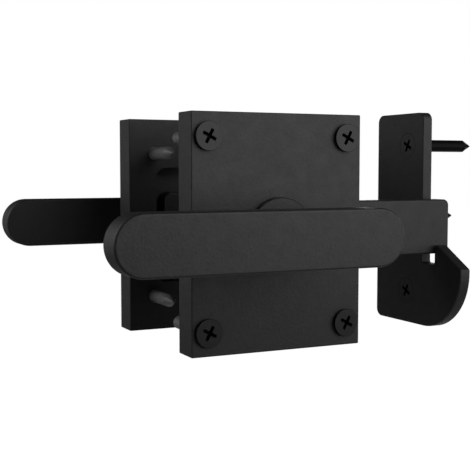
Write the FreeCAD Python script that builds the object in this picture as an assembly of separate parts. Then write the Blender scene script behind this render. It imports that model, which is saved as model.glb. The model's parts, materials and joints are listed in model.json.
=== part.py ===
import FreeCAD, Part
import math
import os

# Barn door latch for both sides of a sliding or hinged door.
# Two thick plates clamp the door. A square spindle runs through both and carries a lever on each
# side and a swinging bar, which drops behind the lip of a keeper on the jamb.
# Units are millimetres. The origin is where the spindle's axis meets the door's front face.
# +X runs along the door towards the jamb, +Y goes into the door, +Z is up.

# Door and plates
door_thickness = 57.3
plate_width = 76.0
plate_height = 95.0
plate_thickness = 12.7
plate_edge_break = 0.5

# Levers
lever_width = 22.0
lever_thickness = 11.7
lever_long_arm = 83.0
lever_short_arm = 31.3
lever_standoff = 30.0
lever_edge_round = 0.9

# Spindle and its clips
spindle_side = 8.0
spindle_clearance = 0.05
spindle_grip = 18.0
spindle_end_room = 0.5
spindle_chamfer = 0.6
clip_thickness = 0.8
clip_radius = 7.0
clip_groove_radius = 4.4
clip_clearance = 0.05
clip_gap = 0.1
clip_mouth = 7.6
clip_relief_radius = 1.3
clip_relief_place = 5.3
clip_relief_angle = 35.0

# Necks, bushes and thrust washers
neck_radius = 8.0
journal_radius = 7.0
running_clearance = 0.05
spigot_radius = 6.5
spigot_length = 6.0
spigot_end_room = 0.2
neck_chamfer = 0.5
bush_flange_radius = 14.2
bush_flange_thickness = 2.5
bush_flange_chamfer = 0.4
bush_barrel_radius = 10.0
press_clearance = 0.02
washer_radius = 9.0
washer_thickness = 0.8
thrust_clearance = 0.15
journal_end_room = 0.1

# Grub screws that hold the necks on the spindle
set_screw_radius = 2.5
set_screw_length = 3.6
set_screw_place = 8.0
set_screw_socket = 2.5
set_screw_socket_depth = 1.8
set_screw_clearance = 0.05

# Latch bar
bar_thickness = 8.0
bar_top = 12.0
bar_bottom = 11.8
bar_corner_radius = 2.6
bar_edge_round = 0.8
bar_side_clearance = 0.3
bar_overhang = 3.2
lift_angle = 18.0

# Pocket behind the front plate, where the bar swings
swing_clearance = 1.0

# Pocket and stop lugs behind the back plate
back_pocket_rim = 21.5
back_pocket_side_room = 4.1
back_pocket_corner = 4.5
lug_gap = 25.4
lug_width = 8.2
lug_height = 29.8
lug_edge_round = 0.8

# Stop cam, turned by half the lift at rest so that it ends just short of a lug either way
cam_thickness = 4.0
cam_height = 23.0
cam_back_clearance = 0.3
stop_clearance = 0.3
cam_hub_radius = 6.5

# Return spring
wire_radius = 0.6
spring_hub_clearance = 0.3
spring_turns = 3
spring_pitch = 1.35
spring_side_clearance = 0.2
spring_hole_depth = 3.0
spring_hole_clearance = 0.2
spring_hole_end_room = 0.3
spring_leg_past_peg = 2.5
peg_radius = 1.25
peg_place = 6.0
peg_gap = 0.05
peg_past_spring = 0.3

# Keeper
keeper_gap = 41.2
keeper_thickness = 5.1
keeper_depth = 35.0
keeper_height = 95.0
keeper_rise = 2.9
keeper_corner_radius = 3.5
keeper_edge_break = 0.4
slot_clearance = 0.8
slot_drop = 4.6
slot_corner_radius = 0.8
lip_height = 8.4
lip_flat = 2.3
lip_reach = 27.3
ramp_drop = 9.2
lip_face_height = 1.8
lip_corner_radius = 0.6

# Screws
head_radius = 5.7
head_rim = 0.6
head_chamfer = 0.12
head_clearance = 0.04
collar_radius = 2.95
collar_clearance = 0.15
shank_radius = 2.725
screw_point = 4.5
screw_tip_radius = 0.3
drive_length = 6.2
drive_width = 1.4
drive_depth = 2.6
drive_foot_length = 2.6
drive_foot_width = 0.7
drive_corner_share = 1 / 3
drive_overcut = 0.01
drive_angles = (28.0, 118.0)
plate_head_proud = 1.7
front_screw_inset_x = 7.0
front_screw_inset_z = 9.5
front_screw_reach = 21.0
back_screw_inset_x = 12.2
back_screw_inset_z = 15.2
back_screw_reach = 21.5
keeper_screw_inset = 14.5
keeper_screw_setback = 11.45
keeper_middle_setback = 24.0
keeper_screw_reach = 30.0

# How far each cutting shape runs past the surface that it opens
overrun = 1.0

# Sizes worked out from the values above
FRONT = -1
BACK = 1
pocket_depth = bar_thickness + 2 * bar_side_clearance
floor_thickness = plate_thickness - pocket_depth
lug_root = floor_thickness / 2
shoulder = bush_flange_thickness + thrust_clearance + washer_thickness
square_hole_side = spindle_side + 2 * spindle_clearance
bar_front_y = bar_side_clearance - pocket_depth
bar_back_y = -bar_side_clearance
cam_back_y = door_thickness + pocket_depth - cam_back_clearance
cam_front_y = cam_back_y - cam_thickness
half_lift = math.radians(lift_angle / 2)
spring_radius = cam_hub_radius + spring_hub_clearance + wire_radius
spring_slope = spring_pitch / (2 * math.pi * spring_radius)
spring_start_y = cam_front_y - spring_side_clearance - wire_radius - spring_slope * lug_gap / 2
spring_end_y = spring_start_y - spring_turns * spring_pitch
hub_end_y = spring_end_y - wire_radius - peg_past_spring
peg_drop = spring_radius + wire_radius + peg_gap + peg_radius
keeper_face_x = plate_width / 2 + keeper_gap
bar_end_x = keeper_face_x + keeper_thickness + bar_overhang


def vector(x, y, z):
    return FreeCAD.Vector(x, y, z)


def outward(side, distance):
    """Y of a plane that lies this far out from the outer face of the plate on that side."""
    if side == FRONT:
        return -plate_thickness - distance
    return door_thickness + plate_thickness + distance


def block(x0, x1, y0, y1, z0, z1):
    """Rectangular block between two corners, given low then high on each axis."""
    return Part.makeBox(x1 - x0, y1 - y0, z1 - z0, vector(x0, y0, z0))


def rod(radius, y0, y1, x=0.0, z=0.0):
    """Cylinder along Y between two planes, in either order."""
    low = min(y0, y1)
    return Part.makeCylinder(radius, abs(y1 - y0), vector(x, low, z), vector(0, 1, 0))


def square_bar(side_length, y0, y1):
    """Square bar along the spindle's axis."""
    half = side_length / 2
    return block(-half, half, min(y0, y1), max(y0, y1), -half, half)


def rounded_wire(corners, place):
    """Closed wire through (u, v, radius) corners; place turns a (u, v) pair into a point in space."""
    starts = []
    middles = []
    ends = []
    count = len(corners)
    for index, (u, v, radius) in enumerate(corners):
        corner = vector(u, v, 0)
        before = vector(corners[index - 1][0], corners[index - 1][1], 0) - corner
        after = vector(corners[(index + 1) % count][0], corners[(index + 1) % count][1], 0) - corner
        before.normalize()
        after.normalize()
        half_angle = before.getAngle(after) / 2
        reach = radius / math.tan(half_angle)
        bisector = before + after
        bisector.normalize()
        starts.append(corner + before * reach)
        middles.append(corner + bisector * (radius / math.sin(half_angle) - radius))
        ends.append(corner + after * reach)
    edges = []
    for index in range(count):
        start, middle, end = [place(p.x, p.y) for p in (starts[index], middles[index], ends[index])]
        previous = place(ends[index - 1].x, ends[index - 1].y)
        if previous.distanceToPoint(start) > 1e-6:
            edges.append(Part.makeLine(previous, start))
        if start.distanceToPoint(end) > 1e-6:
            edges.append(Part.Arc(start, middle, end).toShape())
    return Part.Wire(edges)


def slab(corners, y0, y1):
    """Plate parallel to the door from (x, z, radius) corners, between two planes."""
    low = min(y0, y1)
    face = Part.Face(rounded_wire(corners, lambda x, z: vector(x, low, z)))
    return face.extrude(vector(0, abs(y1 - y0), 0))


def rectangle(x0, x1, z0, z1, radius):
    """Corners of an upright rectangle with equal corner radii."""
    return [(x0, z0, radius), (x1, z0, radius), (x1, z1, radius), (x0, z1, radius)]


def turned(profile, side):
    """Solid turned about the spindle from (radius, distance out from the plate's face) pairs."""
    points = [vector(radius, outward(side, distance), 0) for radius, distance in profile]
    face = Part.Face(Part.makePolygon(points + points[:1]))
    return face.revolve(vector(0, 0, 0), vector(0, 1, 0), 360)


def edges_on_plane(solid, axis, value):
    """Edges that lie wholly on one plane square to an axis."""
    found = []
    for edge in solid.Edges:
        box = edge.BoundBox
        low = getattr(box, axis + "Min")
        high = getattr(box, axis + "Max")
        if abs(low - value) < 1e-4 and abs(high - value) < 1e-4:
            found.append(edge)
    return found


# Screws

def screw_profile(proud, grip, reach):
    """(radius, depth) pairs of a countersunk wood screw; depth counts from the face it goes into.

    A collar fills the hole for the grip's length, and a thinner shank stands out beyond it.
    """
    rim_end = head_rim - proud
    cone_end = rim_end + head_radius - collar_radius
    tip = grip + reach
    return [
        (0, -proud),
        (head_radius - head_chamfer, -proud),
        (head_radius, head_chamfer - proud),
        (head_radius, rim_end),
        (collar_radius, cone_end),
        (collar_radius, grip),
        (shank_radius, grip),
        (shank_radius, tip - screw_point),
        (screw_tip_radius, tip),
        (0, tip),
    ]


def hole_profile(proud, grip):
    """(radius, depth) pairs of the countersunk hole that such a screw sits in."""
    rim_end = head_rim - proud
    cone_end = rim_end + head_radius - collar_radius
    mouth = -proud - overrun
    end = grip + overrun
    return [
        (0, mouth),
        (head_radius + head_clearance, mouth),
        (head_radius + head_clearance, rim_end),
        (collar_radius + collar_clearance, cone_end),
        (collar_radius + collar_clearance, end),
        (0, end),
    ]


def turned_along(profile, at, direction):
    """Solid turned from (radius, depth) pairs about an axis through a point, along a direction."""
    points = [vector(radius, 0, depth) for radius, depth in profile]
    face = Part.Face(Part.makePolygon(points + points[:1]))
    solid = face.revolve(vector(0, 0, 0), vector(0, 0, 1), 360)
    solid.Placement = FreeCAD.Placement(at, FreeCAD.Rotation(vector(0, 0, 1), direction))
    return solid


def drive_recess(proud, at, direction):
    """Cross recess that tapers towards its foot."""
    arms = []
    for angle in drive_angles:
        wires = []
        for length, width, depth in (
            (drive_length, drive_width, -proud - drive_overcut),
            (drive_foot_length, drive_foot_width, drive_depth - proud),
        ):
            corner_radius = width * drive_corner_share
            corners = rectangle(-length / 2, length / 2, -width / 2, width / 2, corner_radius)
            wires.append(rounded_wire(corners, lambda u, v, level=depth: vector(u, v, level)))
        arm = Part.makeLoft(wires, True, True)
        arm.rotate(vector(0, 0, 0), vector(0, 0, 1), angle)
        arms.append(arm)
    recess = arms[0].fuse(arms[1])
    recess.Placement = FreeCAD.Placement(at, FreeCAD.Rotation(vector(0, 0, 1), direction))
    return recess


def wood_screw(proud, grip, reach, at, direction):
    screw = turned_along(screw_profile(proud, grip, reach), at, direction)
    return screw.cut(drive_recess(proud, at, direction))


def corner_places(inset_x, inset_z, y):
    """Four places on one plane, each inset from a corner of the plate."""
    x = plate_width / 2 - inset_x
    z = plate_height / 2 - inset_z
    return [vector(sign_x * x, y, sign_z * z) for sign_z in (1, -1) for sign_x in (-1, 1)]


def front_screw_places():
    return corner_places(front_screw_inset_x, front_screw_inset_z, outward(FRONT, 0))


def back_screw_places():
    return corner_places(back_screw_inset_x, back_screw_inset_z, outward(BACK, 0))


def keeper_screw_places():
    half = keeper_height / 2 - keeper_screw_inset
    return [
        vector(keeper_face_x, keeper_screw_setback, keeper_rise + half),
        vector(keeper_face_x, keeper_middle_setback, keeper_rise),
        vector(keeper_face_x, keeper_screw_setback, keeper_rise - half),
    ]


def plate_screws(places, reach, direction):
    return [wood_screw(plate_head_proud, plate_thickness, reach, at, direction) for at in places]


def keeper_screws():
    direction = vector(1, 0, 0)
    places = keeper_screw_places()
    return [wood_screw(0, keeper_thickness, keeper_screw_reach, at, direction) for at in places]


# Plates

def plate_blank(side):
    """Plain plate with its sharp edges broken and the bush's hole through its middle."""
    low = min(outward(side, 0), outward(side, -plate_thickness))
    half_width = plate_width / 2
    half_height = plate_height / 2
    blank = block(-half_width, half_width, low, low + plate_thickness, -half_height, half_height)
    blank = blank.makeFillet(plate_edge_break, blank.Edges)
    hole_radius = bush_barrel_radius + press_clearance
    return blank.cut(rod(hole_radius, low - overrun, low + plate_thickness + overrun))


def drilled(plate, places, direction):
    """Plate with a countersunk hole at each place."""
    profile = hole_profile(plate_head_proud, plate_thickness)
    holes = [turned_along(profile, at, direction) for at in places]
    return plate.cut(Part.makeCompound(holes))


def swing_pocket():
    """Space that the bar sweeps: its round end, and the wedge between the bar's two limits."""
    radius = bar_top + swing_clearance
    lift = math.radians(lift_angle)
    right = plate_width / 2 + overrun
    upper_right = radius / math.cos(lift) + right * math.tan(lift)
    corners = [
        (0, 0, 0),
        (0, -radius, 0),
        (right, -radius, 0),
        (right, upper_right, 0),
        (-radius * math.sin(lift), radius * math.cos(lift), 0),
    ]
    wedge = slab(corners, -pocket_depth, overrun)
    return wedge.fuse(rod(radius, -pocket_depth, overrun)).removeSplitter()


def front_plate():
    plate = plate_blank(FRONT).cut(swing_pocket())
    return drilled(plate, front_screw_places(), vector(0, 1, 0))


def stop_lug(sign):
    """Round-ended upright lug left standing in the back plate's pocket, level with the door's face."""
    inner = sign * lug_gap / 2
    outer = sign * (lug_gap / 2 + lug_width)
    half = lug_height / 2
    top = door_thickness
    foot = door_thickness + pocket_depth + lug_root
    corners = rectangle(min(inner, outer), max(inner, outer), -half, half, lug_width / 2)
    lug = slab(corners, top, foot)
    return lug.makeFillet(lug_edge_round, edges_on_plane(lug, "Y", top))


def spring_hole():
    """Cross hole in the left lug for the spring's fixed leg."""
    mouth = -lug_gap / 2
    y = spring_start_y + spring_slope * (lug_gap + spring_hole_depth) / 2
    start = vector(mouth - spring_hole_depth, y, -spring_radius)
    radius = wire_radius + spring_hole_clearance
    return Part.makeCylinder(radius, spring_hole_depth + overrun, start, vector(1, 0, 0))


def back_plate():
    half_width = lug_gap / 2 + lug_width + back_pocket_side_room
    half_height = plate_height / 2 - back_pocket_rim
    corners = rectangle(-half_width, half_width, -half_height, half_height, back_pocket_corner)
    pocket = slab(corners, door_thickness - overrun, door_thickness + pocket_depth)
    plate = plate_blank(BACK).cut(pocket)
    plate = plate.fuse([stop_lug(-1), stop_lug(1)]).removeSplitter()
    plate = plate.cut(spring_hole())
    return drilled(plate, back_screw_places(), vector(0, -1, 0))


# Bushes, washers, necks and levers

def bush(side):
    """Flanged bush: the disc that shows on the plate, and a barrel through the plate's floor."""
    bore = journal_radius + running_clearance
    profile = [
        (bore, -floor_thickness),
        (bush_barrel_radius, -floor_thickness),
        (bush_barrel_radius, 0),
        (bush_flange_radius, 0),
        (bush_flange_radius, bush_flange_thickness - bush_flange_chamfer),
        (bush_flange_radius - bush_flange_chamfer, bush_flange_thickness),
        (bore, bush_flange_thickness),
    ]
    return turned(profile, side)


def thrust_washer(side):
    inner = journal_radius + running_clearance
    start = bush_flange_thickness + thrust_clearance
    profile = [(inner, start), (washer_radius, start), (washer_radius, shoulder), (inner, shoulder)]
    return turned(profile, side)


def neck(side):
    """Turned neck: journal in the bush, shoulder on the washer, spigot in the lever's back."""
    end = -floor_thickness - journal_end_room
    profile = [
        (0, end),
        (journal_radius - neck_chamfer, end),
        (journal_radius, end + neck_chamfer),
        (journal_radius, shoulder),
        (neck_radius - neck_chamfer, shoulder),
        (neck_radius, shoulder + neck_chamfer),
        (neck_radius, lever_standoff),
        (spigot_radius, lever_standoff),
        (spigot_radius, lever_standoff + spigot_length),
        (0, lever_standoff + spigot_length),
    ]
    body = turned(profile, side)
    socket_end = outward(side, shoulder + spindle_grip + spindle_end_room)
    body = body.cut(square_bar(square_hole_side, outward(side, end - overrun), socket_end))
    start = vector(0, outward(side, shoulder + set_screw_place), 0)
    radius = set_screw_radius + set_screw_clearance
    return body.cut(Part.makeCylinder(radius, neck_radius + overrun, start, vector(0, 0, -1)))


def lever(side):
    """Flat bar with round ends, its long arm away from the jamb, with a blind bore for the neck."""
    half = lever_width / 2
    inner = outward(side, lever_standoff)
    outer = outward(side, lever_standoff + lever_thickness)
    bar = slab(rectangle(-lever_long_arm, lever_short_arm, -half, half, half), inner, outer)
    rims = edges_on_plane(bar, "Y", inner) + edges_on_plane(bar, "Y", outer)
    bar = bar.makeFillet(lever_edge_round, rims)
    bore_start = outward(side, lever_standoff - overrun)
    bore_end = outward(side, lever_standoff + spigot_length + spigot_end_room)
    return bar.cut(rod(spigot_radius + press_clearance, bore_start, bore_end))


def set_screw(side):
    """Grub screw that bears on the spindle's lower face."""
    y = outward(side, shoulder + set_screw_place)
    top = -spindle_side / 2 - set_screw_clearance
    body = Part.makeCylinder(set_screw_radius, set_screw_length, vector(0, y, top), vector(0, 0, -1))
    corner = set_screw_socket / math.sqrt(3)
    foot = top - set_screw_length
    points = []
    for step in range(7):
        angle = math.radians(60 * step)
        points.append(vector(corner * math.cos(angle), y + corner * math.sin(angle), foot))
    socket = Part.Face(Part.makePolygon(points)).extrude(vector(0, 0, set_screw_socket_depth))
    return body.cut(socket)


# Spindle, clips, bar, cam and spring

def clip_places():
    """Low Y of each clip: one holds the bar, the other the stop cam's hub."""
    return [bar_back_y + clip_gap, hub_end_y - clip_gap - clip_thickness]


def spindle():
    front_end = outward(FRONT, shoulder + spindle_grip)
    back_end = outward(BACK, shoulder + spindle_grip)
    bar = square_bar(spindle_side, front_end, back_end)
    ends = edges_on_plane(bar, "Y", front_end) + edges_on_plane(bar, "Y", back_end)
    bar = bar.makeChamfer(spindle_chamfer, ends)
    for y in clip_places():
        low = y - clip_clearance
        high = y + clip_thickness + clip_clearance
        groove = square_bar(spindle_side + 2 * overrun, low, high)
        bar = bar.cut(groove.cut(rod(clip_groove_radius, low, high)))
    return bar


def clip(y):
    """Open retaining clip pushed into a groove across the spindle's corners from above."""
    end = y + clip_thickness
    ring = rod(clip_radius, y, end).cut(rod(clip_groove_radius + clip_clearance, y, end))
    ring = ring.cut(block(-clip_mouth / 2, clip_mouth / 2, y, end, -clip_radius - overrun, 0))
    for sign in (-1, 1):
        angle = math.radians(clip_relief_angle)
        x = sign * clip_relief_place * math.cos(angle)
        z = clip_relief_place * math.sin(angle)
        ring = ring.cut(rod(clip_relief_radius, y, end, x, z))
    return ring


def latch_bar():
    """Flat bar with a round hub end on the spindle; its free end reaches just past the keeper."""
    radius = (bar_top + bar_bottom) / 2
    corners = [
        (-radius, -bar_bottom, radius),
        (bar_end_x, -bar_bottom, bar_corner_radius),
        (bar_end_x, bar_top, bar_corner_radius),
        (-radius, bar_top, radius),
    ]
    bar = slab(corners, bar_front_y, bar_back_y)
    rims = edges_on_plane(bar, "Y", bar_front_y) + edges_on_plane(bar, "Y", bar_back_y)
    bar = bar.makeFillet(bar_edge_round, rims)
    return bar.cut(square_bar(square_hole_side, bar_front_y - overrun, bar_back_y + overrun))


def peg_centre():
    return peg_place, -peg_drop


def stop_cam():
    """Cam plate that the lugs stop at rest and at full lift, with a hub that carries the spring."""
    half_height = cam_height / 2
    room = lug_gap / 2 - stop_clearance
    half_width = (room - half_height * math.sin(half_lift)) / math.cos(half_lift)
    plate = block(-half_width, half_width, cam_front_y, cam_back_y, -half_height, half_height)
    plate.rotate(vector(0, 0, 0), vector(0, 1, 0), lift_angle / 2)
    cam = plate.fuse(rod(cam_hub_radius, hub_end_y, cam_front_y)).removeSplitter()
    x, z = peg_centre()
    peg_hole = rod(peg_radius + press_clearance, cam_front_y - overrun, cam_back_y + overrun, x, z)
    square_hole = square_bar(square_hole_side, hub_end_y - overrun, cam_back_y + overrun)
    return cam.cut(peg_hole).cut(square_hole)


def moving_leg_length():
    return peg_place + peg_radius + spring_leg_past_peg


def spring_peg():
    """Pin pressed in the cam, under the spring's moving leg."""
    x, z = peg_centre()
    leg_y = spring_end_y - spring_slope * moving_leg_length()
    return rod(peg_radius, leg_y - wire_radius - peg_past_spring, cam_back_y, x, z)


def return_spring():
    """Torsion spring: a leg in the left lug, round coils on the cam's hub, a leg over the peg."""
    rise = spring_turns * spring_pitch
    fixed_leg = lug_gap / 2 + spring_hole_depth - spring_hole_end_room
    moving_leg = moving_leg_length()
    start = vector(spring_radius, -fixed_leg, -fixed_leg * spring_slope)
    coil_start = vector(spring_radius, 0, 0)
    coil_end = vector(spring_radius, 0, rise)
    end = vector(spring_radius, moving_leg, rise + moving_leg * spring_slope)
    coil = Part.makeHelix(spring_pitch, rise, spring_radius)
    path = Part.Wire([Part.makeLine(start, coil_start)] + coil.Edges + [Part.makeLine(coil_end, end)])
    circle = Part.Wire(Part.makeCircle(wire_radius, start, vector(0, 1, spring_slope)))
    spring = path.makePipeShell([circle], True, False)
    matrix = FreeCAD.Matrix(0, 1, 0, 0, 0, 0, -1, spring_start_y, -1, 0, 0, 0, 0, 0, 0, 1)
    spring.Placement = FreeCAD.Placement(matrix)
    return spring


# Keeper

def keeper():
    """Jamb plate with a slot for the bar, a lip in front of it and a ramp that lifts the bar."""
    bottom = keeper_rise - keeper_height / 2
    top = keeper_rise + keeper_height / 2
    slot_floor = -bar_bottom - slot_drop
    lip_inner = bar_front_y - slot_clearance
    lip_top = slot_floor + lip_height
    ramp_foot = lip_top - ramp_drop
    corners = [
        (0, slot_floor, slot_corner_radius),
        (0, top, keeper_corner_radius),
        (keeper_depth, top, keeper_corner_radius),
        (keeper_depth, bottom, keeper_corner_radius),
        (-lip_reach, bottom, ramp_foot - bottom - lip_face_height),
        (-lip_reach, ramp_foot, lip_corner_radius),
        (lip_inner - lip_flat, lip_top, lip_corner_radius),
        (lip_inner, lip_top, lip_corner_radius),
        (lip_inner, slot_floor, slot_corner_radius),
    ]
    face = Part.Face(rounded_wire(corners, lambda y, z: vector(keeper_face_x, y, z)))
    plate = face.extrude(vector(keeper_thickness, 0, 0))
    rims = edges_on_plane(plate, "X", keeper_face_x)
    rims += edges_on_plane(plate, "X", keeper_face_x + keeper_thickness)
    plate = plate.makeChamfer(keeper_edge_break, rims)
    profile = hole_profile(0, keeper_thickness)
    holes = [turned_along(profile, at, vector(1, 0, 0)) for at in keeper_screw_places()]
    return plate.cut(Part.makeCompound(holes))


def build():
    """Every piece by its node's name; a list is a group of like pieces."""
    return {
        "front_plate": front_plate(),
        "back_plate": back_plate(),
        "front_bush": bush(FRONT),
        "back_bush": bush(BACK),
        "front_washer": thrust_washer(FRONT),
        "back_washer": thrust_washer(BACK),
        "front_neck": neck(FRONT),
        "back_neck": neck(BACK),
        "front_lever": lever(FRONT),
        "back_lever": lever(BACK),
        "set_screws": [set_screw(FRONT), set_screw(BACK)],
        "spindle": spindle(),
        "spindle_clips": [clip(y) for y in clip_places()],
        "latch_bar": latch_bar(),
        "stop_cam": stop_cam(),
        "spring_peg": spring_peg(),
        "return_spring": return_spring(),
        "front_plate_screws": plate_screws(front_screw_places(), front_screw_reach, vector(0, 1, 0)),
        "back_plate_screws": plate_screws(back_screw_places(), back_screw_reach, vector(0, -1, 0)),
        "keeper": keeper(),
        "keeper_screws": keeper_screws(),
    }


def export(pieces):
    os.makedirs("parts", exist_ok=True)
    for name, piece in pieces.items():
        solids = piece if isinstance(piece, list) else [piece]
        solids = [solid for shape in solids for solid in shape.Solids]
        shape = solids[0] if len(solids) == 1 else Part.makeCompound(solids)
        shape.exportStep("parts/" + name + ".step")
        volume = sum(solid.Volume for solid in solids) / 1000
        print(f"{name}: {len(solids)} solid(s), {volume:.2f} cm3, valid {shape.isValid()}")


export(build())
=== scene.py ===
# %% [markdown]
# A barn door latch, dressed over its construction
# This latch clamps a door between two thick plates. A lever on each side turns a square spindle,
# and the spindle lifts a flat bar out of a keeper on the jamb. Nearly everything that shows is
# steel under a satin black powder coat. The construction arrives as a fixed frame, in which every
# piece but one can stay as it is, down to the small round on each edge. So this lesson is mostly
# about surfaces and light: it sets a camera and a small white studio, and gives each piece its
# finish. At the end it winds the one piece that bends in use, the return spring.

import json
import math

import bpy
import numpy as np
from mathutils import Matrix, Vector


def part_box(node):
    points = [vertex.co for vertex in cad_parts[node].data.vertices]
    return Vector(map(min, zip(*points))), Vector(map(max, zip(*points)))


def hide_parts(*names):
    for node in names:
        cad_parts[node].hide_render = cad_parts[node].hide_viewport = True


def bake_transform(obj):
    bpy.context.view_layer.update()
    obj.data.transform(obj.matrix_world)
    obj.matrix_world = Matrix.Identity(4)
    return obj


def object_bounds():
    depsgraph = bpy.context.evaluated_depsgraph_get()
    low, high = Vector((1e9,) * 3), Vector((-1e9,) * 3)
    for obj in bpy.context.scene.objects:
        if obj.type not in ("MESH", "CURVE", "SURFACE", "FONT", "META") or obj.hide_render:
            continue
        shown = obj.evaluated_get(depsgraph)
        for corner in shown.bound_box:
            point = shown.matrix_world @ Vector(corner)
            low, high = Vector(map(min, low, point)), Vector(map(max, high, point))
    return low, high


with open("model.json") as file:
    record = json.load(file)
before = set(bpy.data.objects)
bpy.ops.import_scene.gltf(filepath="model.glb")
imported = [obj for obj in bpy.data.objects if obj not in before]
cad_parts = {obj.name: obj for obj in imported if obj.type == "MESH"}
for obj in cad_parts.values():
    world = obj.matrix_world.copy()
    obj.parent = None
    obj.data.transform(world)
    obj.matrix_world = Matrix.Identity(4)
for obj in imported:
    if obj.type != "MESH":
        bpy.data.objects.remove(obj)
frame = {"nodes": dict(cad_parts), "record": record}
nodes = frame["nodes"]
cad_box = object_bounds()
print("nodes:", len(nodes), "box:", cad_box)

# %% [markdown]
# The camera
# The view was worked out from the photograph's straight edges: the corners of both plates and the
# long sides of both levers fix the direction, the distance and the lens together. It stands to
# the left of the door, a little above the spindle, and looks down by about four degrees. Depth of
# field stays off, and the lens is not shifted.

# %% Camera
MM = 0.001
CAMERA_PLACE = np.array([-182.52, -350.25, 25.56]) * MM
CAMERA_AZIMUTH = math.radians(25.78)
CAMERA_DOWN = math.radians(3.947)
LENS_MM = 73.84
SENSOR_MM = 36.0
NEAREST_SEEN = 0.01


def looking_direction(azimuth, down):
    """Unit vector: azimuth turns from +Y towards +X, down tips it below the horizon."""
    level = math.cos(down)
    return Vector((math.sin(azimuth) * level, math.cos(azimuth) * level, -math.sin(down)))


camera_data = bpy.data.cameras.new("camera")
camera_data.lens = LENS_MM
camera_data.sensor_width = SENSOR_MM
camera_data.sensor_fit = "HORIZONTAL"
camera_data.clip_start = NEAREST_SEEN
camera = bpy.data.objects.new("camera", camera_data)
camera.location = CAMERA_PLACE
camera_direction = looking_direction(CAMERA_AZIMUTH, CAMERA_DOWN)
camera.rotation_euler = camera_direction.to_track_quat("-Z", "Y").to_euler()
bpy.context.scene.collection.objects.link(camera)
bpy.context.scene.camera = camera
bpy.context.scene.view_settings.view_transform = "Standard"
print("camera at", [round(v, 4) for v in camera.location])

# %% [markdown]
# The studio
# A product photograph on white needs two things at once: a background that is plain white, and
# light on the object that is gentle enough for black paint to keep its shape. So the white comes
# from what the camera's own rays see, by the Light Path node, and not from more light. Rays that
# leave a glossy surface see it too, but much fainter: the photograph's black edges stay black, so
# its white was far away and dim beside the lamps. Rays that leave a matt surface find the world's
# other branch, which is dimmer still.

# %% World
WHITE = (1, 1, 1, 1)
WHITE_BACKGROUND = 1.0
GLOSS_SHARE = 0.02
ROOM_LIGHT = 0.01


def new_material(name):
    """Empty node material; returns the material, its nodes and its links."""
    material = bpy.data.materials.new(name)
    material.use_nodes = True
    material.node_tree.nodes.clear()
    return material, material.node_tree.nodes, material.node_tree.links


def combined(tree_nodes, links, operation, first, second):
    """Value socket of a Math node on a socket and a second one, or on a socket and a number."""
    node = tree_nodes.new("ShaderNodeMath")
    node.operation = operation
    links.new(first, node.inputs[0])
    if isinstance(second, float):
        node.inputs[1].default_value = second
    else:
        links.new(second, node.inputs[1])
    return node.outputs[0]


def seen_directly(tree_nodes, links):
    """Socket that is 1 for camera rays and rays through glass, faint for gloss and 0 for others."""
    path = tree_nodes.new("ShaderNodeLightPath")
    faint = combined(tree_nodes, links, "MULTIPLY", path.outputs["Is Glossy Ray"], GLOSS_SHARE)
    seen = combined(tree_nodes, links, "MAXIMUM", path.outputs["Is Camera Ray"], faint)
    return combined(tree_nodes, links, "MAXIMUM", seen, path.outputs["Is Transmission Ray"])


world = bpy.data.worlds.new("white_room")
world.use_nodes = True
bpy.context.scene.world = world
world_nodes = world.node_tree.nodes
world_links = world.node_tree.links
world_nodes.clear()
room = world_nodes.new("ShaderNodeBackground")
room.inputs["Strength"].default_value = ROOM_LIGHT
white = world_nodes.new("ShaderNodeBackground")
white.inputs["Strength"].default_value = WHITE_BACKGROUND
for background in (room, white):
    background.inputs["Color"].default_value = WHITE
choice = world_nodes.new("ShaderNodeMixShader")
world_links.new(seen_directly(world_nodes, world_links), choice.inputs[0])
world_links.new(room.outputs[0], choice.inputs[1])
world_links.new(white.outputs[0], choice.inputs[2])
world_output = world_nodes.new("ShaderNodeOutputWorld")
world_links.new(choice.outputs[0], world_output.inputs[0])
print("world nodes:", len(world_nodes))

# %% [markdown]
# The floor
# The floor is a wide pale plane well below the latch, which hangs on its door in use. It keeps
# the soft shadow. To the camera it also glows, so that it ends up as white as the wall behind it.
# Its sizes are in metres.

# %% Floor
FLOOR_DROP = 0.30
FLOOR_SIZE = 12.0
FLOOR_GREY = 0.80
FLOOR_GLOW = 1.0

floor_half = FLOOR_SIZE / 2
floor_z = cad_box[0][2] - FLOOR_DROP
floor_mesh = bpy.data.meshes.new("floor")
floor_corners = [
    (-floor_half, -floor_half, floor_z),
    (floor_half, -floor_half, floor_z),
    (floor_half, floor_half, floor_z),
    (-floor_half, floor_half, floor_z),
]
floor_mesh.from_pydata(floor_corners, [], [(0, 1, 2, 3)])
floor = bpy.data.objects.new("floor", floor_mesh)
bpy.context.scene.collection.objects.link(floor)
floor_paint, floor_nodes, floor_links = new_material("floor_paint")
pale = floor_nodes.new("ShaderNodeBsdfDiffuse")
pale.inputs["Color"].default_value = (FLOOR_GREY, FLOOR_GREY, FLOOR_GREY, 1)
glow = floor_nodes.new("ShaderNodeEmission")
floor_seen = seen_directly(floor_nodes, floor_links)
glow_strength = combined(floor_nodes, floor_links, "MULTIPLY", floor_seen, FLOOR_GLOW)
floor_links.new(glow_strength, glow.inputs["Strength"])
both = floor_nodes.new("ShaderNodeAddShader")
floor_links.new(pale.outputs[0], both.inputs[0])
floor_links.new(glow.outputs[0], both.inputs[1])
floor_output = floor_nodes.new("ShaderNodeOutputMaterial")
floor_links.new(both.outputs[0], floor_output.inputs[0])
floor_mesh.materials.append(floor_paint)
print("floor at", round(floor_z, 3))

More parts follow.
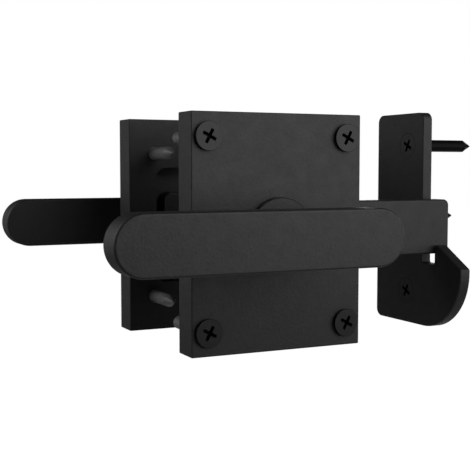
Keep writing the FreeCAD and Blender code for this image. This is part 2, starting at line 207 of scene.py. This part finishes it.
# %% [markdown]
# The lamps
# A satin black surface shows little but the reflections of the lamps, so each lamp was placed by
# asking which way a surface in the photograph faces and what it mirrors. The front faces are the
# brightest, a little more so towards the jamb and above the lever: that is one large soft lamp
# close in front, to the right and slightly high. Surfaces that face upwards stay dark, so nothing
# shines from overhead. A lamp level with the latch on the jamb's side serves the keeper's edge.
# Two on the left light the plates' edges and the lever's round end, and a faint one behind them
# draws the back lever. The last stands behind the jamb, for the sides that the photograph hides.
# The latch was rendered under one lamp at a time, and the pictures were weighed against the
# photograph for a first set of powers. Those were then adjusted.

# %% Lamps
LAMP_TARGET = Vector((0.0, 0.02, 0.0))
# Each lamp's angle from straight in front towards the jamb, height angle, distance, size and watts
LAMPS = {
    "key_lamp": (22, 20, 0.35, 0.35, 0.72),
    "jamb_lamp": (60, 0, 0.60, 0.30, 0.26),
    "left_lamp": (-85, 12, 0.35, 0.35, 0.18),
    "far_left_lamp": (-120, 25, 0.60, 0.30, 0.80),
    "back_left_lamp": (-150, 0, 0.60, 0.30, 0.09),
    "back_lamp": (130, -6, 0.90, 0.60, 2.8),
}


def area_lamp(name, angle, height, distance, size, watts):
    """Square lamp that faces the target from a direction and a distance."""
    data = bpy.data.lights.new(name, "AREA")
    data.size = size
    data.energy = watts
    lamp = bpy.data.objects.new(name, data)
    across = math.radians(angle)
    up = math.radians(height)
    level = math.cos(up)
    direction = Vector((math.sin(across) * level, -math.cos(across) * level, math.sin(up)))
    lamp.location = LAMP_TARGET + distance * direction
    lamp.rotation_euler = (-direction).to_track_quat("-Z", "Y").to_euler()
    bpy.context.scene.collection.objects.link(lamp)


for lamp_name, lamp_values in LAMPS.items():
    area_lamp(lamp_name, *lamp_values)
print("lamps:", len(LAMPS))

# %% [markdown]
# Tools for the finishes
# Every finish here is made the same way. Noise patterns on Object coordinates, which are in
# metres, give values; a value is stretched to a range of colour or roughness, or feeds a bump;
# and one surface takes all three. A noise scale is therefore a count per metre.

# %% Tools for the finishes
def noise(tree_nodes, links, coordinates, scale, detail, roughness=0.5):
    """Noise texture that reads the given coordinates; returns its value socket."""
    texture = tree_nodes.new("ShaderNodeTexNoise")
    texture.inputs["Scale"].default_value = scale
    texture.inputs["Detail"].default_value = detail
    texture.inputs["Roughness"].default_value = roughness
    links.new(coordinates, texture.inputs["Vector"])
    return texture.outputs["Fac"]


def remap(tree_nodes, links, value, low, high, start=0.3, end=0.7):
    """Value stretched from start..end to low..high."""
    ranger = tree_nodes.new("ShaderNodeMapRange")
    ranger.inputs["From Min"].default_value = start
    ranger.inputs["From Max"].default_value = end
    ranger.inputs["To Min"].default_value = low
    ranger.inputs["To Max"].default_value = high
    links.new(value, ranger.inputs["Value"])
    return ranger.outputs["Result"]


def blend_colours(tree_nodes, links, value, dark, light):
    """Colour between dark and light, by a value from 0 to 1."""
    mixer = tree_nodes.new("ShaderNodeMix")
    mixer.data_type = "RGBA"
    mixer.inputs["A"].default_value = dark
    mixer.inputs["B"].default_value = light
    links.new(value, mixer.inputs["Factor"])
    return mixer.outputs["Result"]


def bump(tree_nodes, links, height, strength, distance):
    """Bump from a height socket, with its depth in metres."""
    node = tree_nodes.new("ShaderNodeBump")
    node.inputs["Strength"].default_value = strength
    node.inputs["Distance"].default_value = distance
    links.new(height, node.inputs["Height"])
    return node.outputs["Normal"]


def surface_from(tree_nodes, links, colour, roughness, normal):
    """Surface fed by three sockets and wired to the material's output."""
    surface = tree_nodes.new("ShaderNodeBsdfPrincipled")
    links.new(colour, surface.inputs["Base Color"])
    links.new(roughness, surface.inputs["Roughness"])
    links.new(normal, surface.inputs["Normal"])
    output = tree_nodes.new("ShaderNodeOutputMaterial")
    links.new(surface.outputs[0], output.inputs["Surface"])
    return surface


print("tools ready")

# %% [markdown]
# Powder coat
# Powder coat is a plastic skin melted on to steel. Here it is satin: nearly black in itself, and
# grey only where it mirrors a lamp softly. It has a fine grain of pits and swellings about a
# millimetre apart, and a slower drift in thickness over several millimetres. Two noise patterns
# make them. Their sum varies the colour and the roughness a little, and the grain alone feeds the
# bump. Two noises add up to a value near one, so the range that is stretched lies round one.

# %% Powder coat
GRAIN_PER_METRE = 850.0
GRAIN_DETAIL = 2.0
GRAIN_ROUGHNESS = 0.6
GRAIN_STRENGTH = 0.35
GRAIN_DEPTH = 0.00018
DRIFT_PER_METRE = 200.0
DRIFT_DETAIL = 2.0
MOTTLE_LOW = 0.7
MOTTLE_HIGH = 1.3
COAT_DARK = (0.0108, 0.0108, 0.0111, 1)
COAT_LIGHT = (0.0132, 0.0132, 0.0135, 1)
COAT_ROUGH = 0.56
COAT_SMOOTH = 0.48
COAT_GLOSS = 0.5


def powder_coat():
    """Satin coat, smoother and lighter where it is thicker."""
    material, tree_nodes, links = new_material("powder_coat")
    place = tree_nodes.new("ShaderNodeTexCoord").outputs["Object"]
    grain = noise(tree_nodes, links, place, GRAIN_PER_METRE, GRAIN_DETAIL, GRAIN_ROUGHNESS)
    drift = noise(tree_nodes, links, place, DRIFT_PER_METRE, DRIFT_DETAIL)
    mottle = combined(tree_nodes, links, "ADD", grain, drift)
    tone = remap(tree_nodes, links, mottle, 0.0, 1.0, MOTTLE_LOW, MOTTLE_HIGH)
    colour = blend_colours(tree_nodes, links, tone, COAT_DARK, COAT_LIGHT)
    roughness = remap(tree_nodes, links, mottle, COAT_ROUGH, COAT_SMOOTH, MOTTLE_LOW, MOTTLE_HIGH)
    normal = bump(tree_nodes, links, grain, GRAIN_STRENGTH, GRAIN_DEPTH)
    surface = surface_from(tree_nodes, links, colour, roughness, normal)
    surface.inputs["Specular IOR Level"].default_value = COAT_GLOSS
    return material


coat = powder_coat()
print("powder coat nodes:", len(coat.node_tree.nodes))

# %% [markdown]
# Screws
# The plates' screws have painted faces that match the plate round them, and shanks of dull grey
# zinc that stand out in the shade between the plates. The sides of their heads and their cross
# recesses take the near-black screw finish, which there is painted shade round the rim and in the
# recess. The keeper's screws are black from end to end, with almost no sheen along the shank, and
# their faces vanish into the keeper.

# %% Screw finishes
# Near black: the keeper screws' own colour, and painted shade on the plate screws' head sides and
# recesses
SCREW_BLACK_AND_PAINTED_SHADE = (0.0035, 0.0035, 0.0037, 1)
SCREW_WORN = (0.006, 0.006, 0.0063, 1)
HEAD_DARK = (0.011, 0.011, 0.0113, 1)
HEAD_LIGHT = (0.014, 0.014, 0.0143, 1)
ZINC_DARK = (0.115, 0.115, 0.117, 1)
ZINC_LIGHT = (0.155, 0.155, 0.157, 1)
FINE_PER_METRE = 2600.0
BROAD_PER_METRE = 350.0
SCREW_DETAIL = 2.0
SCREW_STRENGTH = 0.2
SCREW_DEPTH = 0.00004


def screw_finish(name, dark, light, gloss, smooth, rough):
    """Screw surface; smooth and rough are the two ends of its roughness."""
    material, tree_nodes, links = new_material(name)
    place = tree_nodes.new("ShaderNodeTexCoord").outputs["Object"]
    fine = noise(tree_nodes, links, place, FINE_PER_METRE, SCREW_DETAIL)
    broad = noise(tree_nodes, links, place, BROAD_PER_METRE, SCREW_DETAIL)
    tone = remap(tree_nodes, links, broad, 0.0, 1.0)
    colour = blend_colours(tree_nodes, links, tone, dark, light)
    roughness = remap(tree_nodes, links, fine, smooth, rough)
    normal = bump(tree_nodes, links, fine, SCREW_STRENGTH, SCREW_DEPTH)
    surface = surface_from(tree_nodes, links, colour, roughness, normal)
    surface.inputs["Specular IOR Level"].default_value = gloss
    return material


# Near-black finish; on the plates' screw heads it is painted shade on the sides and in the recesses
screw_black_and_painted_shade = screw_finish("screw_black_and_painted_shade", SCREW_BLACK_AND_PAINTED_SHADE, SCREW_WORN, gloss=0.08, smooth=0.34, rough=0.44)
head_paint = screw_finish("head_paint", HEAD_DARK, HEAD_LIGHT, gloss=0.36, smooth=0.34, rough=0.40)
shank_zinc = screw_finish("shank_zinc", ZINC_DARK, ZINC_LIGHT, gloss=0.5, smooth=0.40, rough=0.48)
print("screw finishes:", screw_black_and_painted_shade.name, head_paint.name, shank_zinc.name)

# %% [markdown]
# Plain steel
# The spindle, cam, clips, washers and spring never see the weather, so they stay bare drawn
# steel with a light oil film. Drawing leaves fine lines along the spindle, which is along Y here.
# A Mapping node shrinks the coordinates along that axis, so that the noise stretches into lines.

# %% Plain steel
STEEL_DARK = (0.26, 0.26, 0.27, 1)
STEEL_LIGHT = (0.42, 0.42, 0.43, 1)
STEEL_SMOOTH = 0.28
STEEL_ROUGH = 0.42
STEEL_DETAIL = 3.0
LINE_STRETCH = (1.0, 0.04, 1.0)
LINES_PER_METRE = 3000.0
LINE_STRENGTH = 0.15
LINE_DEPTH = 0.00003
STAINS_PER_METRE = 120.0


def drawn_steel():
    """Bare steel with drawing lines along Y and a broad stain."""
    material, tree_nodes, links = new_material("drawn_steel")
    place = tree_nodes.new("ShaderNodeTexCoord").outputs["Object"]
    mapping = tree_nodes.new("ShaderNodeMapping")
    mapping.inputs["Scale"].default_value = LINE_STRETCH
    links.new(place, mapping.inputs["Vector"])
    lines = noise(tree_nodes, links, mapping.outputs["Vector"], LINES_PER_METRE, STEEL_DETAIL)
    stain = noise(tree_nodes, links, place, STAINS_PER_METRE, STEEL_DETAIL)
    tone = remap(tree_nodes, links, stain, 0.0, 1.0)
    colour = blend_colours(tree_nodes, links, tone, STEEL_DARK, STEEL_LIGHT)
    roughness = remap(tree_nodes, links, lines, STEEL_SMOOTH, STEEL_ROUGH)
    normal = bump(tree_nodes, links, lines, LINE_STRENGTH, LINE_DEPTH)
    surface = surface_from(tree_nodes, links, colour, roughness, normal)
    surface.inputs["Metallic"].default_value = 1.0
    return material


steel = drawn_steel()
print("plain steel nodes:", len(steel.node_tree.nodes))

# %% [markdown]
# Finishes on the frame's own pieces
# The pieces of the frame only need their material. The record says which finish each piece has,
# by a slot name, and one loop hands them out.

# %% Hand out the finishes
FINISHES = {"powder_coat": coat, "black_screws": screw_black_and_painted_shade, "plain_steel": steel}


def paint(thing, material):
    """One material on the whole piece."""
    thing.data.materials.clear()
    thing.data.materials.append(material)


for subpart in frame["record"]["subparts"]:
    paint(nodes[subpart["node"]], FINISHES[subpart["material_slot"]])

# %% [markdown]
# Which faces of a screw get which finish
# All the heads of a group end on one plane, so how deep a face lies below that plane says what it
# belongs to: on the plane is the painted face, close below it are the side of the head and the
# recess, and deeper is the shank. Each depth gets its own material slot. The side of the head and
# the recess keep the first slot, the near-black screw finish, as painted shade.

# %% Dress the screws
PLANE_TOLERANCE = 0.02 * MM
HEAD_DEPTH = 6.0 * MM
HEAD_SIDES = 0
HEAD_FACE = 1
SHANK = 2
X_AXIS = 0
Y_AXIS = 1
LOW_END = 0
HIGH_END = 1


def dress_screws(node_name, axis, end, face_finish, shank_finish):
    """Finishes by depth below the plane of the heads; returns how many faces got each one."""
    mesh = nodes[node_name].data
    mesh.materials.append(face_finish)
    mesh.materials.append(shank_finish)
    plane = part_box(node_name)[end][axis]
    count = len(mesh.polygons)
    centres = np.empty(count * 3)
    mesh.polygons.foreach_get("center", centres)
    depth = np.abs(centres.reshape(count, 3)[:, axis] - plane)
    # Faces just below the head plane keep the first slot, the near-black finish, as painted shade
    slots = np.where(depth > HEAD_DEPTH, SHANK, HEAD_SIDES)
    slots = np.where(depth < PLANE_TOLERANCE, HEAD_FACE, slots)
    mesh.polygons.foreach_set("material_index", slots.astype(np.int32))
    return np.bincount(slots).tolist()


front_counts = dress_screws("front_plate_screws", Y_AXIS, LOW_END, head_paint, shank_zinc)
back_counts = dress_screws("back_plate_screws", Y_AXIS, HIGH_END, head_paint, shank_zinc)
keeper_counts = dress_screws("keeper_screws", X_AXIS, LOW_END, coat, screw_black_and_painted_shade)
print("sides, faces and shanks:", front_counts, back_counts, keeper_counts)

# %% [markdown]
# The return spring
# This is the one piece that changes its shape as a lever turns. One leg sits in a hole in the
# back plate's lug, the other lies over the peg on the cam, and the turn between them twists the
# coils. A rigid spring would cut into the peg, so this one is made anew along its own centre
# line: a straight leg, three turns of a helix and a second leg. The line is worked out all at
# once, as rows of points, and a ring of wire goes round each point. Round the centre line, one
# direction points away from the spindle and the second is square to it and to the wire.

# %% Return spring
WIRE_RADIUS = 0.60 * MM
COIL_RADIUS = 7.40 * MM
COIL_PITCH = 1.35 * MM
COIL_TURNS = 3
FIXED_LEG = 15.40 * MM
MOVING_LEG = 9.75 * MM
STEPS_PER_TURN = 48
WIRE_SIDES = 14

coil_slope = COIL_PITCH / (2 * math.pi * COIL_RADIUS)
fixed_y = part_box("return_spring")[1][1] - WIRE_RADIUS - FIXED_LEG * coil_slope


def spring_line():
    """Centre points, wire directions and outward directions, from the lug's end to the peg's."""
    turn = np.linspace(0.0, 2 * math.pi * COIL_TURNS, COIL_TURNS * STEPS_PER_TURN + 1)
    # The legs run on from the coil's two ends, so they keep the angle of that end
    along = np.concatenate([[-FIXED_LEG], np.zeros(len(turn)), [MOVING_LEG]])
    turn = np.concatenate([turn[:1], turn, turn[-1:]])
    outward = np.stack([np.sin(turn), np.zeros(len(turn)), -np.cos(turn)], 1)
    wire = np.stack([np.cos(turn), np.full(len(turn), -coil_slope), np.sin(turn)], 1)
    centre = COIL_RADIUS * outward + along[:, None] * wire
    centre[:, 1] += fixed_y - COIL_PITCH * turn / (2 * math.pi)
    return centre, wire / np.linalg.norm(wire, axis=1)[:, None], outward


def tube_mesh(name, centre, wire, outward, radius, sides):
    """Closed round tube along a line of points."""
    square = np.cross(wire, outward)
    around = np.linspace(0.0, 2 * math.pi, sides, endpoint=False)[None, :, None]
    spokes = np.cos(around) * outward[:, None] + np.sin(around) * square[:, None]
    rings = centre[:, None] + radius * spokes
    ring_start = np.arange(len(centre) - 1)[:, None] * sides
    first = ring_start + np.arange(sides)
    second = ring_start + (np.arange(sides) + 1) % sides
    quads = np.stack([first, second, second + sides, first + sides], -1).reshape(-1, 4)
    last = (len(centre) - 1) * sides
    caps = [list(range(sides - 1, -1, -1)), list(range(last, last + sides))]
    mesh = bpy.data.meshes.new(name)
    mesh.from_pydata(rings.reshape(-1, 3).tolist(), [], quads.tolist() + caps)
    mesh.polygons.foreach_set("use_smooth", [True] * len(quads) + [False] * len(caps))
    return mesh


spring_mesh = tube_mesh("wound_spring", *spring_line(), WIRE_RADIUS, WIRE_SIDES)
spring = bpy.data.objects.new("wound_spring", spring_mesh)
bpy.context.scene.collection.objects.link(spring)
spring_mesh.materials.append(steel)
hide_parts("return_spring")
print("spring faces:", len(spring_mesh.polygons))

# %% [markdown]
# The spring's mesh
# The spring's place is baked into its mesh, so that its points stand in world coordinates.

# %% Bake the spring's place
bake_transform(spring)
